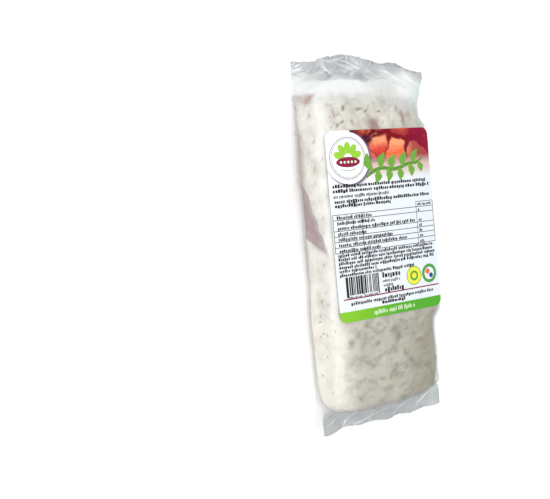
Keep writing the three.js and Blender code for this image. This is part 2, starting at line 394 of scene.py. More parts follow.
film = {
    "flatWidth": 92.0, "flatShift": 1.4,    # the seams lie flat, and a little to the right
    "seamHalf": 0.5, "headReach": 9.6, "footReach": 10.5,
    "seamStart": 96.0, "seamShare": 0.62,   # the share of the mesh's rows up to there
    "tented": 0.62,                         # how full it still is just past the cake's ends
    "foldProud": 3.0,                       # how far its folded long edges stand off
    "leftPower": 5.2, "rightPower": 7.5,
    "wrinkle": 0.22, "fanWrinkle": 0.36, "creaseRise": 0.9,
    "cuts": (150, 244, 26),
    # how far the cut edge at the head stands out from an even arch, at places in x
    "headEdge": [
        (-46, 1), (-38, 1), (-33, 0), (-30, -0.6), (-26.5, 1), (-22, 1.2), (-17, 0), (-12.5, 0.2), (-8.5, 1.3),
        (-5, 1.9), (0, 1.5), (3, 0.8), (8.5, 1.2), (12, 0.9), (15.5, 0), (19, -0.8), (22, -0.6), (25.5, 0.2),
        (29.5, 0.8), (33, 0.2), (36, -0.6), (40, -0.3), (46, 0.2),
    ],
    # where the grey flap starts, with bright film below it: milky, with painted glare
    "flapLine": [
        (-46, 99.5), (-37, 99), (-31, 97.8), (-25, 98.6), (-14, 98.4), (-6, 97.2), (3, 96.8), (8, 97.2),
        (16, 99.2), (27, 101.8), (35, 101.5), (41, 97.5), (46, 96),
    ],
    # creases: points along each, half width, strength
    "headCreases": [
        ([(-25.9, 108), (-22.9, 104.3), (-19.8, 100.2)], 0.6, 1),
        ([(-25, 109.5), (-15.5, 108.4), (-7.8, 106.6), (-1.3, 103.8)], 0.5, 0.7),
        ([(-14.4, 110.4), (-7.6, 109.8), (-3.5, 107.6), (0.9, 104.9)], 0.5, 0.7),
        ([(-8.6, 112), (-15.3, 110.1), (-18.6, 109.6)], 0.5, 0.8),
        ([(-2.3, 104.5), (-6, 102), (-9, 99.3)], 0.7, 0.5),
        ([(4.8, 105.6), (9, 102), (13.6, 99), (24.4, 94.6), (38, 90.6)], 0.6, 0.5),
        ([(15.7, 103.7), (26.4, 100.4), (32.3, 96.8), (38.5, 91.4)], 1.9, 0.9),
        ([(-43.6, 106), (-39.4, 108)], 0.6, 0.7), ([(-44, 101.4), (-40, 100.2)], 0.6, 0.5),
        ([(-29.9, 104.2), (-27.4, 107.2), (-25, 104.3)], 0.5, 0.55),
        ([(-1.5, 111.8), (0.6, 105.5)], 0.45, 0.22), ([(2, 111.2), (1.9, 104.3)], 0.45, 0.25),
        ([(5.2, 110.4), (3.4, 105.2)], 0.45, 0.25), ([(9, 108.6), (5, 105.2)], 0.45, 0.3),
        ([(-40.3, 102.1), (-35.6, 103.2), (-32.7, 106)], 0.7, 0.35), ([(34, 104), (41, 97)], 0.6, 0.5),
        ([(18, 106), (30, 104.6)], 0.6, 0.35),
    ],
    "sideCreases": [
        ([(50, 3), (38.7, 8.7), (32.8, 12.9), (23.3, 16.8), (12.8, 21.2), (7, 25.4), (-3, 29.5)], 1.1, 0.6),
        ([(-2.5, 29), (-0.5, 23.5), (3, 16.2), (6, 9.7)], 0.9, 0.45),
        ([(-29.4, 12.4), (-32.2, 17), (-35.9, 23.3), (-38.9, 28.1), (-42, 32.5)], 1.5, 1),
        ([(-20, 20), (-28, 27)], 1, 0.4), ([(89.5, 30), (88.4, 19), (91.5, 11)], 0.8, 0.5),
        ([(84, 24), (76, 29)], 1, 0.35), ([(70, 6), (52, 9), (30, 6.5)], 1, 0.5),
        ([(-8, 6), (-30, 8.5), (-58, 5)], 1, 0.5), ([(62, 10), (44, 14)], 0.8, 0.3),
    ],
    "footCreases": [
        ([(-30, -108), (-26, -103), (-22, -98)], 0.7, 0.9), ([(-22, -108), (2, -101)], 0.5, 0.6),
        ([(8, -108), (18, -104), (27, -99.5)], 0.7, 0.7), ([(28, -107), (44, -96)], 0.8, 0.9),
        ([(-42, -104), (-33, -99)], 0.6, 0.6), ([(-12, -109), (-8, -99)], 0.6, 0.5),
        ([(-44, -99), (-34, -92), (-27, -80)], 0.9, 0.35), ([(43, -97), (35, -88), (31, -74)], 0.9, 0.4),
        ([(14, -99), (12, -90), (8, -84)], 0.9, 0.25), ([(-6, -99), (-9, -91)], 0.9, 0.25),
        ([(37, -44), (30, -50), (20, -53)], 0.9, 0.25),
    ],
    # painted shade in places at the head: corners, strength
    "paintedShadePlaces": [
        ([(-31.2, 98.4), (-23.6, 104.6), (-19.6, 100.2), (-26.7, 97.4)], 0.85),
        ([(-6.4, 99), (-2.4, 102), (0.4, 102.2), (1.6, 99), (-0.6, 95.8), (-4.3, 96)], 0.6),
        ([(-30.4, 103.8), (-27.6, 107.6), (-25, 104.2)], 0.8),
        ([(5.6, 103.4), (11, 98.8), (22, 94), (37, 89.2), (24, 95.6), (13, 100.6)], 0.25),
        ([(-44, 107.5), (-38, 107.2), (-34, 102.6), (-43, 101.6)], 0.15),
        ([(-14, 113.5), (1, 113), (-0.5, 107), (-11, 108)], 0.55),
    ],
    # a blushing fold at the head's left corner: corners, strength, softness
    "wedge": [
        ([(90.2, 30.4), (88.5, 28.6), (86.8, 26.5), (85.5, 24.6), (84.1, 22), (82.7, 18.4), (84.8, 17),
          (86.5, 13.8), (87.5, 9), (90, 9), (89.9, 14), (88.7, 18.7), (89.5, 23.4)], 0.52, 0.7),
        ([(89.6, 28), (87.7, 26.8), (86.2, 25), (85.2, 23), (83.5, 19.4), (85.6, 18.6), (87.4, 20.6),
          (88.6, 24.4)], 0.95, 1),
    ],
    # painted shadows of the nicks along the cut edge at the head
    "nickShadows": [
        -44.6, -42.4, -39.8, -25.6, -21.5, -19.1, -15.9, 8.8, 11.6, 20.3, 23.8, 30.3, 32.4, 34.6, 37.8, 42,
    ],
    "nickReach": 0.9,
}


def alongFilm(x, v, end):
    # how far along the pouch a row of the grid lies at x
    if abs(v) <= film["seamShare"]:
        return v / film["seamShare"] * film["seamStart"]
    past = (abs(v) - film["seamShare"]) / (1 - film["seamShare"])
    return end * mix(film["seamStart"], seamEnd(x, end), past)


def flapAt(x):
    # where the loose flap starts at the head, and how softly
    return onLine(x, film["flapLine"]), 1.3 + 4.2 * smooth(-27, -37, x) + 1.6 * smooth(3, 12, x)


def milkAndPaintedGlareAt(x, y, girth, blur, paintedFilmShade):
    # milky film with painted glare where it is drawn tight over the cake's head end, and a band of painted
    # glare along its left edge
    line, soft = flapAt(x)
    start = 81.0 - 4 * smooth(-8, 10, x) - 4.5 * smooth(12, 24, x)
    across = 1 - 0.2 * smooth(-7, 3, x) + 0.26 * smooth(14, 24, x)
    tight = 1 - smooth(line - 0.8 * soft, line + soft, y + blur)
    milkAndPaintedGlare = smooth(start, 92.0, y + 1.8 * blur) * tight * across * (1 - paintedFilmShade)
    if y > line - 4:
        milkAndPaintedGlare = max(milkAndPaintedGlare, 0.5 * (1 - smooth(line, line + 5.5, y)) * (1 - paintedFilmShade))
    low = smooth(-28, -55, y)
    centre = mix(mix(30.0, 33.5, smooth(40, 80, y)), 26.0, low)
    band = hump(girth, centre, mix(5.5, 7.0, low)) if x < -24 else 0.0
    return max(milkAndPaintedGlare, mix(0.36, 0.24, low) * band)


def coolAt(x, y, z, blur):
    # it stands off the cake and looks cold along the right edge
    cool = smooth(31.0 - 5 * smooth(68, 80, y), 40.5, x + 1.5 * blur) * mix(0.6, 1.0, smooth(60, 68, y))
    return cool * (1 - smooth(92, 98, y)) * mix(0.25, 1.0, smooth(9, 19, z + blur))


def makeFilm(material):
    bm = gridBox(film["cuts"])
    layers = newLayers(bm, ("loose", "creaseHighlight", "milkAndPaintedGlare", "paintedFilmShade", "rim", "blush", "cool"))
    for vert in bm.verts:
        u, v, w = vert.co
        side = -1 if u < 0 else 1
        end = -1 if v < 0 else 1
        level = alongFilm(u * halfWidth, v, end)
        spread = roundedBy(u, w, sectionPower(side, level))
        x = filmReach(side, level) * u / spread
        y = alongFilm(x, v, end)
        full, middle, half = filmSection(x, y)
        z = middle + half * w / spread
        x += foldAt(side, y, z, full, u / spread)
        place = Vector((x, y, z))
        gone = smooth(halfLength - 6, halfLength + 1, abs(y))   # how far the film is past the cake
        girth = z + x + halfWidth
        ridge = 0.0
        if w > 0 and (y > 85 or y < -40):
            ridge = creaseAt(x, y, film["headCreases"] if y > 0 else film["footCreases"])
        if x < -28 and w > -1 and girth < 36:
            ridge = max(ridge, creaseAt(y, girth, film["sideCreases"]))
        # fine wrinkles, longer along the pack over the cake and fanned out at its ends
        fan = math.atan2(x * 0.6, max(6.0, halfLength + 14 - abs(y))) * 9
        wrinkle = mix(film["wrinkle"] * wobble(x / 3.5, y / 11, z / 3),
                      film["fanWrinkle"] * wobble(fan, abs(y) / 16, 3 * end), gone)
        wrinkle *= mix(1.0, 0.15, underLabel(y) * (1 if w > 0 and abs(x) < 38 else 0))
        if w > 0:
            inside, pick = beanField(place)
            swell = cake["beanRise"] * 0.5 * inside * mix(0.3, 1.0, pick) * full * (1 - gone)
            swell *= abs(w / spread) ** 3 * mix(1.0, 0.2, underLabel(y))
            place.z += swell + wrinkle + film["creaseRise"] * ridge * mix(0.3, 1.0, gone)
        elif place.z > 2.5:
            place.z += wrinkle * 0.6
        ripple = 0.5 * wobble(y / 5, z / 3, 4) + 0.4 * wobble(y / 1.9, z / 2.2, 8) + 0.5 * ridge
        place.x += side * abs(u / spread) ** 8 * ripple * full
        place.z = max(0.0, place.z)
        vert.co = place * mm
        blur = 1.2 * wobble(x / 5, y / 5, 5)
        marks = {key: 0.0 for key in layers}
        # painted highlight along the creases, which also stand up as ridges
        marks["creaseHighlight"] = clamp(ridge)
        if x < -30 and y > 75:
            marks["blush"] = max(strength * insideShape(y + blur * 0.4, girth, corners, soft)
                                 for corners, strength, soft in film["wedge"])
        if y > 62 and w > 0:
            ragged = x + 0.8 * wobble(x / 3, y / 3, 1)
            marks["paintedFilmShade"] = max(strength * insideShape(ragged, y, corners, 1.0)
                               for corners, strength in film["paintedShadePlaces"])
        line, soft = flapAt(x)
        marks["loose"] = smooth(line - soft, line + soft, y + blur) if y > 0 else gone
        if w > -0.9:
            # milky film and painted glare
            marks["milkAndPaintedGlare"] = milkAndPaintedGlareAt(x, y, girth, blur, marks["paintedFilmShade"]) * (1 - marks["blush"])
            marks["cool"] = coolAt(x, y, z, blur)
        if y > 0:
            near = 1.3 - abs(abs(y) - abs(seamEnd(x, end)))
            # painted shadows in the nicks of the cut edge
            marks["rim"] = max(hump(x, nickShadow, film["nickReach"]) for nickShadow in film["nickShadows"]) * clamp(near)
        for key, layer in layers.items():
            vert[layer] = marks[key]
    makePiece("filmPouch", bm, material, "sealed_pack")


label = {
    "width": 75.4, "height": 110.0, "x": 3.1, "y": 13.0,
    "thickness": 0.22, "clearance": 0.55,
    "corner": 4.5, "cornerSteps": 8,
    "pressedHead": 37.0, "pressedFoot": 30.0,   # past these it runs on straight
    "slices": (1.3, 2.4),                       # strips that let it bend
    "printWidth": 1095.0, "printHeight": 1590.0,   # the print's own grid, from its top left corner
}
labelLeft = label["x"] - label["width"] / 2
labelFoot = label["y"] - label["height"] / 2
labelHead = label["y"] + label["height"] / 2
printScale = label["height"] / label["printHeight"]


def labelHeight(x, y):
    # the back of the label: pressed on the film, then straight on past its round edge
    side = -1 if x < 0 else 1
    limit = mix(label["pressedFoot"], label["pressedHead"], smooth(-42, 68, y))
    pressed = side * min(abs(x), limit)
    fall = topHeight(pressed - side, y) - topHeight(pressed, y)
    base = topHeight(pressed, y) + label["clearance"] - fall * abs(x - pressed)
    return base + 0.10 * wobble(x / 16, y / 20, 2) + 0.25 * wobble(y / 8, 3.3) * smooth(30, 41, x)


def labelTop(x, y):
    return labelHeight(x, y) + label["thickness"]


def sliceAcross(bm):
    # cuts a flat piece into strips so that it can bend with the label
    for axis, start, length in ((0, labelLeft, label["width"]), (1, labelFoot, label["height"])):
        step = label["slices"][axis]
        for i in range(1, int(length / step)):
            place, away = Vector(), Vector()
            place[axis], away[axis] = start + i * step, 1.0
            geometry = bm.verts[:] + bm.edges[:] + bm.faces[:]
            bmesh.ops.bisect_plane(bm, geom=geometry, plane_co=place, plane_no=away)


def makeLabel(material):
    bm = bmesh.new()
    size = Matrix.Diagonal((label["width"], label["height"], label["thickness"], 1))
    bmesh.ops.create_cube(bm, size=1.0, matrix=Matrix.Translation((label["x"], label["y"], 0)) @ size)
    corners = [e for e in bm.edges if abs(e.verts[0].co.z - e.verts[1].co.z) > 0.01]
    bmesh.ops.bevel(bm, geom=corners, offset=label["corner"], affect="EDGES", segments=label["cornerSteps"],
                    profile=0.5, material=-1)
    sliceAcross(bm)
    for edge in bm.edges:
        if edge.is_manifold and edge.calc_face_angle(0) > 0.7:
            edge.smooth = False
    for vert in bm.verts:
        x, y, z = vert.co
        vert.co = Vector((x, y, labelTop(x, y) if z > 0 else labelHeight(x, y))) * mm
    makePiece("paperLabel", bm, material, "paper_label")


# The print is thin layers of ink. It is laid out on the print's own grid.
ink = {
    "thickness": 0.02, "sunk": 0.02, "layerStep": 0.02,
    "discSides": 48, "ringSides": 64,
    "tones": {
        "blackInk": (30, 29, 36), "titleGreen": (108, 162, 62), "stemGreen": (90, 140, 54),
        "darkRing": (62, 66, 66), "limeInk": (146, 200, 62), "greenInk": (78, 152, 68),
        "maroonInk": (136, 26, 60), "yellowInk": (228, 224, 70), "orangeInk": (222, 112, 68),
        "blueInk": (44, 74, 150), "paleInk": (220, 234, 204),
    },
    # lines of words: y, from and to in x, height, weight
    "lines": [
        (455, 30, 1020, 28, 0.62), (495, 30, 1060, 28, 0.62), (540, 32, 610, 27, 0.34),
        (583, 38, 1062, 28, 0.58), (617, 38, 610, 27, 0.62), (667, 900, 1066, 22, 0.36),
        (715, 45, 400, 27, 0.46), (760, 45, 440, 27, 0.46), (803, 45, 868, 27, 0.46),
        (850, 45, 330, 27, 0.46), (895, 45, 610, 27, 0.46), (942, 45, 760, 27, 0.46),
        (990, 45, 480, 27, 0.46), (1027, 30, 1055, 26, 0.5), (1060, 30, 1062, 26, 0.5),
        (1093, 30, 1066, 26, 0.5), (1127, 30, 1062, 26, 0.5), (1158, 30, 405, 26, 0.5),
        (1192, 30, 830, 26, 0.5), (1290, 455, 650, 24, 0.28), (1328, 462, 566, 24, 0.28),
        (1438, 112, 1014, 27, 0.5), (1470, 432, 706, 27, 0.7),
    ],
    "amounts": (715, 803, 850, 895, 942, 990),          # short words in the table's right column
    "bigLines": [(1240, 455, 668, 44, 0.5), (1366, 472, 706, 38, 0.5)],
    "tableRows": (690, 735, 825, 870, 915, 962, 1008), "tableTop": 645,
    "tableColumns": [(10, 690), (293, 690), (885, 645), (1085, 645)],   # x and top
    "barWidths": (8.5, 8.5, 13.0, 17.0, 23.0), "barGaps": (5.0, 5.0, 8.0, 14.0),
    "barsFrom": 78.0, "barsTo": 408, "barTop": 1212, "barFoot": 1368, "guardFoot": 1385,
    "stem": [(372, 402), (450, 352), (555, 330), (650, 346), (745, 334), (835, 306), (925, 300), (1012, 256)],
    "stemWidths": [12, 34, 30, 32, 30, 30, 26, 8],
    # leaves: base, tip, width
    "leaves": [
        (446, 354, 396, 196, 92), (540, 334, 580, 200, 88), (652, 346, 690, 222, 86),
        (772, 328, 812, 206, 84), (890, 302, 944, 188, 78), (490, 342, 470, 452, 84),
        (604, 338, 600, 446, 80), (722, 340, 730, 440, 78), (836, 308, 862, 418, 76),
        (938, 292, 978, 384, 70),
    ],
}


def onPrint(x, y):
    # from the print's own grid to the pack
    return (labelLeft + x / label["printWidth"] * label["width"],
            labelHead - y / label["printHeight"] * label["height"])


def inkBox(bm, x0, y0, x1, y1):
    left, top = onPrint(x0, y0)
    right, bottom = onPrint(x1, y1)
    place = Matrix.Translation(((left + right) / 2, (top + bottom) / 2, 0))
    size = Matrix.Diagonal((right - left, top - bottom, 1.0, 1))
    bmesh.ops.create_cube(bm, size=1.0, matrix=place @ size)


def inkDisc(bm, x, y, radius, stretch=1.0, lean=0.0):
    place = Matrix.Translation((*onPrint(x, y), 0)) @ Matrix.Rotation(lean, 4, "Z")
    bmesh.ops.create_cone(bm, cap_ends=True, segments=ink["discSides"], radius1=radius * printScale,
                          radius2=radius * printScale, depth=1.0,
                          matrix=place @ Matrix.Diagonal((1, stretch, 1, 1)))


def inkRing(bm, x, y, outer, inner):
    cx, cy = onPrint(x, y)
    corners = [bm.verts.new((cx + r * printScale, cy, h)) for r, h in
               ((inner, -0.5), (outer, -0.5), (outer, 0.5), (inner, 0.5))]
    edges = [bm.edges.new((corners[i], corners[(i + 1) % 4])) for i in range(4)]
    bmesh.ops.spin(bm, geom=corners + edges, cent=(cx, cy, 0), axis=(0, 0, 1), angle=math.tau,
                   steps=ink["ringSides"], use_merge=True)
    bmesh.ops.remove_doubles(bm, verts=bm.verts[:], dist=1e-4)


def inkRibbon(points, widths, steps):
    # a brush stroke: a long thin box bent along a smooth path
    bm = bmesh.new()
    bmesh.ops.create_cube(bm, size=1.0)
    long = [e for e in bm.edges if abs(e.verts[0].co.x - e.verts[1].co.x) > 0.5]
    bmesh.ops.subdivide_edges(bm, edges=long, cuts=steps)
    last = len(points) - 1

    def pathAt(share):
        spot = clamp(share) * last
        i = min(int(spot), last - 1)
        t = spot - i
        p0, p1, p2, p3 = (Vector(points[clamp(k, 0, last)]) for k in (i - 1, i, i + 1, i + 2))
        curve = 0.5 * ((2 * p1) + (p2 - p0) * t + (2 * p0 - 5 * p1 + 4 * p2 - p3) * t * t
                       + (3 * p1 - p0 - 3 * p2 + p3) * t ** 3)
        return curve, mix(widths[i], widths[i + 1], t)

    for vert in bm.verts:
        share = vert.co.x + 0.5
        here, width = pathAt(share)
        run = (pathAt(share + 0.01)[0] - pathAt(share - 0.01)[0]).normalized()
        spot = here + Vector((-run.y, run.x)) * vert.co.y * width
        vert.co = (*onPrint(spot.x, spot.y), vert.co.z)
    return bm


def inkWords(bm, y, x0, x1, height, weight, dice):
    # a line of words shown as upright strokes of uneven height, with no letters in it
    x = x0
    while x < x1:
        for _ in range(dice.randint(3, 13)):
            width = height * weight * dice.uniform(0.7, 1.35)
            if x + width > x1:
                return
            rise = dice.choice((0.72, 0.72, 0.76, 0.8, 1.05, 1.0))
            drop = dice.choice((0.0, 0.0, 0.0, 0.0, 0.22))
            inkBox(bm, x, y + height * (0.5 - rise), x + width, y + height * (0.5 + drop))
            x += width + height * dice.uniform(0.12, 0.24)
        x += height * dice.uniform(0.3, 0.5)


def finishInk(name, bm, material, layer=1):
    sliceAcross(bm)
    rise = ink["thickness"] + ink["layerStep"] * (layer - 1)
    for vert in bm.verts:
        x, y, z = vert.co
        vert.co = Vector((x, y, labelTop(x, y) + (rise if z > 0 else -ink["sunk"]))) * mm
    makePiece(name, bm, material, "paper_label", smoothFaces=False)


def printText(material):
    dice = random.Random(41)
    bm = bmesh.new()
    for line in ink["lines"]:
        inkWords(bm, *line, dice)
    for y in ink["amounts"]:
        inkWords(bm, y, 905, 905 + dice.randint(24, 50), 27, 0.42, dice)
    for line in ink["bigLines"]:
        inkWords(bm, *line, dice)
    finishInk("printText", bm, material)


def printRules(material):
    bm = bmesh.new()
    foot, half = ink["tableRows"][-1], 2.5
    for y in ink["tableRows"]:
        inkBox(bm, 10, y - 2.6, 1085, y + 2.6)
    inkBox(bm, 885, ink["tableTop"] - 2.4, 1085, ink["tableTop"] + 2.4)
    for x, top in ink["tableColumns"]:
        inkBox(bm, x - half, top, x + half, foot)
    finishInk("printRules", bm, material)


def printBars(material):
    dice = random.Random(5)
    bm = bmesh.new()
    x = ink["barsFrom"]
    while x < ink["barsTo"]:
        width = dice.choice(ink["barWidths"])
        guard = x < 92 or 236 < x < 252 or x > 396
        inkBox(bm, x, ink["barTop"], x + width, ink["guardFoot"] if guard else ink["barFoot"])
        x += width + dice.choice(ink["barGaps"])
    for start, end in ((96, 232), (258, 392)):
        inkWords(bm, 1384, start, end, 16, 0.3, dice)
    finishInk("printBars", bm, material)


def printVine(stemInk, leafInk):
    # a green brushed vine in place of a name
    finishInk("printStem", inkRibbon(ink["stem"], ink["stemWidths"], 70), stemInk, layer=2)
    leaves = bmesh.new()
    for x, y, tipX, tipY, width in ink["leaves"]:
        middle = (mix(x, tipX, 0.5) + 0.16 * (tipY - y), mix(y, tipY, 0.5))
        leaf = inkRibbon([(x, y), middle, (tipX, tipY)], [10, width, 4], 18)
        mesh = bpy.data.meshes.new("leaf")
        leaf.to_mesh(mesh)
        leaf.free()
        leaves.from_mesh(mesh)
        bpy.data.meshes.remove(mesh)
    finishInk("printLeaves", leaves, leafInk, layer=3)


def printEmblems(inks):
    # plain rings, discs and ovals, with no picture in them
    fan = [math.radians(90 + (i - 2) * 36) for i in range(5)]
    petals = [(inkDisc, 200 + 92 * math.cos(turn), 232 - 88 * math.sin(turn), 50, 0.6, turn) for turn in fan]
    dots = [(inkDisc, 140 + 20 * i, 322 + 9 * math.cos((i - 3) * 0.5), 6) for i in range(7)]
    greenRings = [(inkRing, 803, 1288, 83, 77), (inkRing, 803, 1288, 44, 26), (inkRing, 980, 1288, 84, 56)]
    for name, tone, layer, parts in (
            ("printRings", "darkRing", 1, [(inkRing, 200, 230, 176, 171), (inkRing, 200, 230, 162, 159)]),
            ("printPetals", "limeInk", 1, petals),
            ("printMaroon", "maroonInk", 2, [(inkDisc, 200, 262, 118, 0.36), (inkBox, 45, 1392.5, 1080, 1403)]),
            ("printBeads", "paleInk", 3, [(inkDisc, 128 + 36 * i, 262, 11) for i in range(5)]),
            ("printDots", "greenInk", 1, dots),
            ("printYellow", "yellowInk", 1, [(inkDisc, 803, 1288, 83)]),
            ("printGreen", "greenInk", 2, greenRings),
            ("printOrange", "orangeInk", 2, [(inkDisc, 962, 1270, 24)]),
            ("printBlue", "blueInk", 2, [(inkDisc, 1000, 1308, 22)]),
            ("printPale", "paleInk", 1, [(inkWords, 1543, 342, 796, 36, 0.2, random.Random(9))])):
        bm = bmesh.new()
        for shape, *numbers in parts:
            shape(bm, *numbers)
        finishInk(name, bm, inks[tone], layer)


def plug(tree, target, value):
    # a link where the value is a socket, else the socket's own number
    if isinstance(value, bpy.types.NodeSocket):
        tree.links.new(value, target)
    else:
        target.default_value = value


def plugAll(tree, made, inputs):
    for key, value in inputs.items():
        plug(tree, made.inputs[key], value)


def newNode(tree, kind, inputs, **values):
    made = tree.nodes.new("ShaderNode" + kind)
    for key, value in values.items():
        setattr(made, key, value)
    plugAll(tree, made, inputs)
    return made


def newMaterial(name):
    material = bpy.data.materials.new(name)
    material.use_nodes = True
    tree = material.node_tree
    tree.nodes.clear()
    shader = newNode(tree, "BsdfPrincipled", {})
    newNode(tree, "OutputMaterial", {"Surface": shader.outputs[0]})
    return material, tree, shader


def sums(tree, operation, a, b=0.0, c=0.0, clampIt=False):
    made = newNode(tree, "Math", {0: a, 1: b, 2: c}, operation=operation, use_clamp=clampIt)
    return made.outputs[0]


def times(tree, a, b, more=0.0, clampIt=False):
    # a times b, plus more
    return sums(tree, "MULTIPLY_ADD", a, b, more, clampIt)


def ramp(tree, value, low, high, toLow=0.0, toHigh=1.0):
    ends = {"Value": value, "From Min": low, "From Max": high, "To Min": toLow, "To Max": toHigh}
    made = newNode(tree, "MapRange", ends, interpolation_type="SMOOTHSTEP", clamp=True)
    return made.outputs["Result"]


def blend(tree, share, a, b):
    # sockets 6, 7 and 2 are the ones for colours
    return newNode(tree, "Mix", {0: share, 6: a, 7: b}, data_type="RGBA").outputs[2]


def objectPlace(tree, scale=(1, 1, 1), turn=0.0):
    coords = newNode(tree, "TexCoord", {})
    mapping = {"Vector": coords.outputs["Object"], "Scale": scale, "Rotation": (0, 0, turn)}
    return newNode(tree, "Mapping", mapping).outputs["Vector"]


def noiseAt(tree, place, scale, detail=3.0, roughness=0.55, distortion=0.0):
    inputs = {"Vector": place, "Scale": scale, "Detail": detail, "Roughness": roughness,
              "Distortion": distortion}
    return newNode(tree, "TexNoise", inputs).outputs["Fac"]


def bumpFrom(tree, height, strength, distance):
    inputs = {"Height": height, "Strength": strength, "Distance": distance}
    return newNode(tree, "Bump", inputs)


def attribute(tree, name):
    return newNode(tree, "Attribute", {}, attribute_name=name).outputs["Fac"]


def srgb(r, g, b):
    def linear(value):
        value /= 255
        return value / 12.92 if value <= 0.04045 else ((value + 0.055) / 1.055) ** 2.4
    return (linear(r), linear(g), linear(b), 1.0)


def newGroup(name, output, kind, **inputs):
    # a shader node group with its named sockets
    group = bpy.data.node_groups.new(name, "ShaderNodeTree")
    for key, socket in inputs.items():
        group.interface.new_socket(key, in_out="INPUT", socket_type="NodeSocket" + socket)
    group.interface.new_socket(output, in_out="OUTPUT", socket_type="NodeSocket" + kind)
    return group, group.nodes.new("NodeGroupInput").outputs, group.nodes.new("NodeGroupOutput").inputs[0]


def makeGrain():
    # fine relief, used on the cake and the paper
    group, entry, leave = newGroup("fineGrain", "Normal", "Vector", Place="Vector", Scale="Float",
                                   Detail="Float", Roughness="Float", Strength="Float", Depth="Float")
    height = noiseAt(group, entry["Place"], entry["Scale"], entry["Detail"], entry["Roughness"])
    plug(group, leave, bumpFrom(group, height, entry["Strength"], entry["Depth"]).outputs[0])
    return group


def makeInkWear():
    # specks where ink is worn lighter, used by every ink
    group, entry, leave = newGroup("inkWear", "Color", "Color", Place="Vector", Scale="Float", Ink="Color",
                                   Worn="Color", Wear="Float")
    worn = ramp(group, noiseAt(group, entry["Place"], entry["Scale"]), 0.45, 0.75, 0.0, entry["Wear"])
    plug(group, leave, blend(group, worn, entry["Ink"], entry["Worn"]))
    return group


def tinted(tree, colour, look, *steps):
    # lays tones on a colour: a value, where each starts and is full by it, and the tone
    for value, ends, tone in steps:
        colour = blend(tree, ramp(tree, value, *ends), colour, look[tone])
    return colour


def tempehMaterial(grain):
    look = {
        "ivory": srgb(236, 233, 226), "cream": srgb(216, 210, 197), "bean": srgb(194, 189, 173),
        "paintedShadeTone": srgb(154, 150, 131), "deep": srgb(129, 120, 104), "speck": srgb(106, 98, 82),
        "pinkAndPaintedShade": srgb(141, 102, 98), "paintedSideShade": srgb(145, 110, 117), "pale": srgb(240, 236, 222),
        "patchScale": 75, "mottleScale": 125, "speckScale": 330, "feltScale": 420,
        # strength, where it starts and is full, how ragged its edge is and at what scale
        "marks": {
            "deep": (0.8, 0.0, 1.0, 0.9, 380), "pinkAndPaintedShade": (0.85, 0.0, 0.9, 0.6, 380),
            "paintedSideShade": (0.95, 0.0, 1.0, 0.5, 260), "speck": (0.85, 0.04, 0.9, 0.3, 520),
        },
    }
    material, tree, shader = newMaterial("tempeh")
    place = objectPlace(tree)
    flat = objectPlace(tree, scale=(0.85, 1.1, 1.0), turn=0.35)
    shade = attribute(tree, "shade")
    patches = ramp(tree, noiseAt(tree, place, look["patchScale"], 4), 0.4, 0.68)
    colour = blend(tree, patches, look["ivory"], look["cream"])
    # painted light: the pale tone lightens the left side towards its foot
    colour = blend(tree, attribute(tree, "pale"), colour, look["pale"])
    # painted shade: the cake is darkened towards the shade tone
    colour = blend(tree, shade, colour, look["paintedShadeTone"])
    mottle = noiseAt(tree, flat, look["mottleScale"], 3, 0.55, 0.3)
    specks = noiseAt(tree, place, look["speckScale"], 2, 0.5, 0.3)
    # beans under the white felt, mottling and fine specks, stronger where shade is painted
    for mask, more, least, tone in ((ramp(tree, attribute(tree, "bean"), 0.15, 0.8), 0.55, 0.2, "bean"),
                                    (ramp(tree, mottle, 0.45, 0.74), 0.9, 0.18, "deep"),
                                    (ramp(tree, specks, 0.67, 0.8), 0.1, 0.28, "speck")):
        share = sums(tree, "MULTIPLY", mask, times(tree, shade, more, least, True))
        colour = blend(tree, share, colour, look[tone])
    # marks of the cake's own colour, and the painted shade on its left side
    for key, (strength, start, full, ragged, scale) in look["marks"].items():
        rough = sums(tree, "SUBTRACT", noiseAt(tree, place, scale), 0.5)
        edge = ramp(tree, times(tree, rough, ragged, attribute(tree, key)), start, full)
        colour = blend(tree, sums(tree, "MULTIPLY", edge, strength), colour, look[key])
    felt = {"Place": place, "Scale": look["feltScale"], "Detail": 4, "Roughness": 0.6, "Strength": 0.35,
            "Depth": 0.0008}
    plugAll(tree, shader, {
        "Base Color": colour, "Roughness": 0.6, "Subsurface Weight": 0.1,
        "Subsurface Radius": (0.003, 0.0025, 0.002), "Subsurface Scale": 1.0,
        "Normal": newNode(tree, "Group", felt, node_tree=grain).outputs[0],
    })
    return material


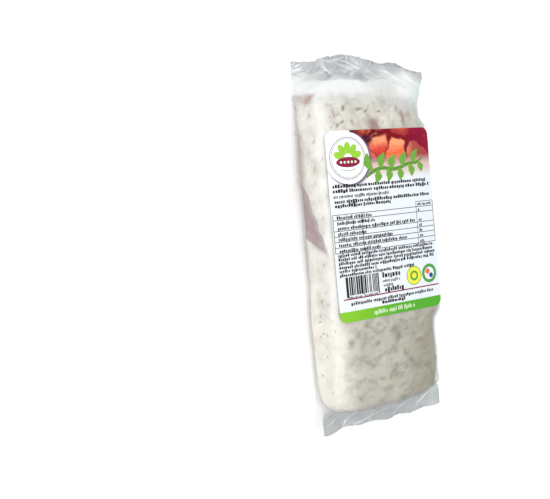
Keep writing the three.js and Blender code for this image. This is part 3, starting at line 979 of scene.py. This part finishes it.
def filmMaterial():
    look = {
        "film": srgb(176, 180, 182), "bright": srgb(228, 231, 230), "dark": srgb(140, 144, 148),
        "nickShadow": srgb(36, 40, 44), "blush": srgb(168, 128, 118), "cool": srgb(206, 219, 219),
        "clearest": 0.10,   # how milky it is at least
        "milky": {
            "loose": 0.5, "milkAndPaintedGlare": 0.8, "creaseHighlight": 0.42, "paintedFilmShade": 0.26, "rim": 0.9, "blush": 0.66, "cool": 0.62,
        },
        "wrinkled": 0.08, "edgeOn": 0.16,
        "lets": 0.8,        # light that it lets through to the cake even where it looks milky
    }
    material, tree, shader = newMaterial("clearFilm")
    long = objectPlace(tree, scale=(1.0, 0.35, 1.0))
    slant = objectPlace(tree, scale=(0.4, 1.0, 1.0), turn=0.6)
    marks = {key: attribute(tree, key) for key in look["milky"]}
    wrinkles = noiseAt(tree, long, 260, 5, 0.62, 0.8)
    streaks = noiseAt(tree, long, 95, 3, 0.5, 0.4)
    fans = noiseAt(tree, slant, 120, 4, 0.55, 0.5)
    facing = newNode(tree, "LayerWeight", {"Blend": 0.3}).outputs["Facing"]
    haze = look["clearest"]
    for key, more in look["milky"].items():
        haze = times(tree, marks[key], more, haze)
    haze = times(tree, ramp(tree, wrinkles, 0.5, 0.78), look["wrinkled"], haze)
    haze = times(tree, facing, look["edgeOn"], haze, True)
    # painted shade: the film turns dark grey in the shaded places
    colour = blend(tree, marks["paintedFilmShade"], look["film"], look["dark"])
    # painted highlights: the film is whitened along streaks, creases and the painted glare, and where it is
    # milky over the cake
    white = sums(tree, "MULTIPLY", ramp(tree, fans, 0.52, 0.7), 0.4)
    for other in (marks["creaseHighlight"], marks["milkAndPaintedGlare"], sums(tree, "SUBTRACT", 0.6, marks["loose"])):
        white = sums(tree, "MAXIMUM", white, other)
    # painted shadows in the nicks of the cut edge
    nickShadows = sums(tree, "MULTIPLY", marks["rim"], ramp(tree, noiseAt(tree, long, 900, 2), 0.5, 0.6))
    for share, strength, tone in ((white, 1.0, "bright"), (marks["cool"], 0.9, "cool"),
                                  (marks["blush"], 1.0, "blush"), (nickShadows, 0.9, "nickShadow")):
        colour = blend(tree, sums(tree, "MULTIPLY", share, strength), colour, look[tone])
    # dull where it is milky
    dull = times(tree, sums(tree, "MAXIMUM", marks["milkAndPaintedGlare"], marks["blush"]), 0.5, 0.25)
    fine = bumpFrom(tree, wrinkles, 0.2, 0.0005)
    coarse = bumpFrom(tree, streaks, 0.3, 0.0015)
    plug(tree, coarse.inputs["Normal"], fine.outputs[0])
    plugAll(tree, shader, {
        "Base Color": colour, "Metallic": 0.2, "Roughness": dull, "Normal": coarse.outputs[0],
    })
    rays = newNode(tree, "LightPath", {}).outputs
    lit = times(tree, rays["Is Shadow Ray"], -look["lets"], 1.0)
    clear = newNode(tree, "BsdfTransparent", {})
    surface = shader.outputs[0].links[0].to_socket
    both = {"Fac": sums(tree, "MULTIPLY", haze, lit), 1: clear.outputs[0], 2: shader.outputs[0]}
    plug(tree, surface, newNode(tree, "MixShader", both).outputs[0])
    return material


def distanceFrom(tree, x, y, middle):
    dx, dy = sums(tree, "SUBTRACT", x, middle[0]), sums(tree, "SUBTRACT", y, middle[1])
    return sums(tree, "SQRT", times(tree, dx, dx, sums(tree, "MULTIPLY", dy, dy)))


def labelMaterial(grain):
    look = {
        "paper": srgb(247, 247, 249), "paintedShadeRight": srgb(224, 231, 236), "paperLow": srgb(228, 232, 237),
        "plum": srgb(66, 6, 34), "crack": srgb(122, 8, 24), "red": srgb(204, 56, 54),
        "orange": srgb(232, 106, 66), "glow": srgb(246, 164, 118), "brown": srgb(136, 8, 50),
        "pale": srgb(214, 192, 187), "shadow": srgb(104, 94, 122), "lime": srgb(132, 194, 47),
        "leaf": srgb(84, 166, 48),
        "pebbleScale": 68, "pebbleWarp": 0.006, "pebbleLight": (-70.0, 120.0, 0.0),
        # on the print's own grid
        "disc": (200, 230), "discRadius": 214, "discShadow": (213, 242), "bandTop": 1498.5, "soft": 3,
    }
    material, tree, shader = newMaterial("printedPaper")
    place = objectPlace(tree)
    parts = newNode(tree, "SeparateXYZ", {0: place}).outputs
    step = 1 / (printScale * mm)
    x = times(tree, parts[0], step, -labelLeft * mm * step)
    y = times(tree, parts[1], -step, labelHead * mm * step)
    # a field of pebbles
    spot = objectPlace(tree, scale=(1.0, 1.15, 1.0), turn=0.5)
    drift = {0: noiseAt(tree, spot, 110, 2), 1: noiseAt(tree, spot, 90, 2)}
    drift = newNode(tree, "CombineXYZ", drift)
    warp = {0: drift.outputs[0], "Scale": look["pebbleWarp"]}
    warp = newNode(tree, "VectorMath", warp, operation="SCALE").outputs[0]
    warped = newNode(tree, "VectorMath", {0: spot, 1: warp}, operation="ADD").outputs[0]
    cells = {"Vector": warped, "Scale": look["pebbleScale"]}
    gap = newNode(tree, "TexVoronoi", cells, feature="DISTANCE_TO_EDGE").outputs["Distance"]
    cells = newNode(tree, "TexVoronoi", cells).outputs
    pick = newNode(tree, "SeparateColor", {0: cells["Color"]}).outputs[0]
    pick = times(tree, ramp(tree, x, 760, 900), -0.6, pick)
    rough = sums(tree, "SUBTRACT", noiseAt(tree, spot, 520, 4, 0.6), 0.5)
    # each pebble is lit from its upper left
    off = newNode(tree, "VectorMath", {0: warped, 1: cells["Position"]}, operation="SUBTRACT")
    slope = {0: off.outputs[0], 1: look["pebbleLight"]}
    slope = newNode(tree, "VectorMath", slope, operation="DOT_PRODUCT")
    slope = times(tree, rough, 1.1, slope.outputs["Value"])
    warm = tinted(tree, look["red"], look, (pick, (0, 0.4), "orange"), (slope, (0, 0.9, 0, 0.9), "glow"),
                  (slope, (-0.9, -0.1, 0.75, 0), "brown"))
    # rounder pebbles: the gaps widen where three of them meet
    gap = times(tree, ramp(tree, cells["Distance"], 0.42, 0.85), -0.11, times(tree, rough, 0.12, gap))
    crack = tinted(tree, look["plum"], look, (x, (460, 600), "crack"))
    picture = blend(tree, ramp(tree, gap, -0.05, 0.08), crack, warm)
    # it darkens to its sides and ends in mist at its foot
    picture = tinted(tree, picture, look, (x, (770, 920, 0, 0.8), "brown"), (x, (270, 430, 0.85, 0), "plum"),
                     (y, (210, 330), "pale"))
    # a white disc lies over its left end
    radius = look["discRadius"]
    past = ramp(tree, distanceFrom(tree, x, y, look["disc"]), radius, radius + look["soft"])
    shown = sums(tree, "MULTIPLY", ramp(tree, y, 335, 440, 1.0, 0.0), past)
    shown = sums(tree, "MULTIPLY", shown, ramp(tree, x, 230, 236))
    shadow = ramp(tree, distanceFrom(tree, x, y, look["discShadow"]), radius - 8, radius + 28, 1.0, 0.0)
    # painted shade: the paper darkens towards its right edge
    paper = tinted(tree, look["paper"], look, (y, (240, 620), "paperLow"), (x, (150, 1095), "paintedShadeRight"))
    colour = blend(tree, shown, paper, picture)
    colour = blend(tree, sums(tree, "MULTIPLY", shadow, past), colour, look["shadow"])
    green = tinted(tree, look["lime"], look, (x, (0, 700), "leaf"))
    colour = blend(tree, ramp(tree, y, look["bandTop"], look["bandTop"] + look["soft"]), colour, green)
    waves = {"Place": place, "Scale": 60, "Detail": 3, "Roughness": 0.55, "Strength": 0.12, "Depth": 0.001}
    plugAll(tree, shader, {
        "Base Color": colour, "Roughness": 0.42, "Specular IOR Level": 0.14,
        "Normal": newNode(tree, "Group", waves, node_tree=grain).outputs[0],
    })
    return material


def inkMaterial(name, colour, wear):
    material, tree, shader = newMaterial(name)
    worn = tuple(min(1.0, channel * 1.25 + 0.015) for channel in colour[:3]) + (1.0,)
    inputs = {"Place": objectPlace(tree), "Scale": 900, "Ink": colour, "Worn": worn, "Wear": 0.5}
    colour = newNode(tree, "Group", inputs, node_tree=wear).outputs[0]
    plugAll(tree, shader, {"Base Color": colour, "Roughness": 0.45, "Specular IOR Level": 0.14})
    return material


def floorMaterial():
    material, tree, shader = newMaterial("paleFloor")
    clouds = noiseAt(tree, objectPlace(tree), 2.0, 2)
    tone = blend(tree, clouds, srgb(254, 254, 254), srgb(255, 255, 255))
    plugAll(tree, shader, {"Base Color": tone, "Roughness": 0.9})
    return material


print("cake and film")
fineGrain, inkWear = makeGrain(), makeInkWear()
makeCake(tempehMaterial(fineGrain))
makeFilm(filmMaterial())
print("label and print")
makeLabel(labelMaterial(fineGrain))
inks = {name: inkMaterial(name, srgb(*tone), inkWear) for name, tone in ink["tones"].items()}
for makePrint in (printText, printRules, printBars):
    makePrint(inks["blackInk"])
printVine(inks["stemGreen"], inks["titleGreen"])
printEmblems(inks)

print("floor, light and camera")
studio = {
    "floorSize": 8.0,
    "lights": {
        "overhead": {"place": (0.05, 0.45, 1.7), "size": 1.6, "power": 4.5},
        "key": {"place": (-0.72, -0.02, 0.66), "size": 0.55, "power": 2.05},
        "front": {"place": (-0.34, 0.06, 1.0), "size": 0.55, "power": 4.2},
        "glint": {"place": (0.6, 0.85, 0.5), "size": 0.7, "power": 2.6},
    },
    "world": 0.55,
    "cameraPlace": (-0.2600, 0.0325, 0.3664),
    "cameraRight": (0.8684, -0.0909, 0.4875),
    "cameraUp": (0.1134, 0.9934, -0.0168),
    "cameraBack": (-0.4827, 0.0699, 0.8730),
    "lens": 46.67, "sensor": 36.0,
}


def softLight(name, place, size, power):
    data = bpy.data.lights.new(name, "AREA")
    data.shape = "SQUARE"
    data.size = size
    data.energy = power
    lamp = bpy.data.objects.new(name, data)
    lamp.location = place
    lamp.rotation_euler = (-Vector(place)).to_track_quat("-Z", "Y").to_euler()
    bpy.context.scene.collection.objects.link(lamp)


bm = bmesh.new()
bmesh.ops.create_grid(bm, x_segments=8, y_segments=8, size=studio["floorSize"] / 2)
floorMesh = bpy.data.meshes.new("floor")
bm.to_mesh(floorMesh)
bm.free()
floorMesh.materials.append(floorMaterial())
floor = bpy.data.objects.new("floor", floorMesh)
bpy.context.scene.collection.objects.link(floor)

for lampName, settings in studio["lights"].items():
    softLight(lampName, **settings)

world = bpy.data.worlds.new("studio")
bpy.context.scene.world = world
world.use_nodes = True
background = world.node_tree.nodes["Background"]
background.inputs["Color"].default_value = (1.0, 1.0, 1.0, 1.0)
background.inputs["Strength"].default_value = studio["world"]

cameraData = bpy.data.cameras.new("camera")
cameraData.lens = studio["lens"]
cameraData.sensor_width = studio["sensor"]
cameraData.clip_start = 0.01
camera = bpy.data.objects.new("camera", cameraData)
turn = Matrix((studio["cameraRight"], studio["cameraUp"], studio["cameraBack"])).transposed()
camera.matrix_world = Matrix.Translation(studio["cameraPlace"]) @ turn.to_quaternion().to_matrix().to_4x4()
bpy.context.scene.collection.objects.link(camera)
bpy.context.scene.camera = camera
bpy.context.scene.view_settings.view_transform = "Standard"
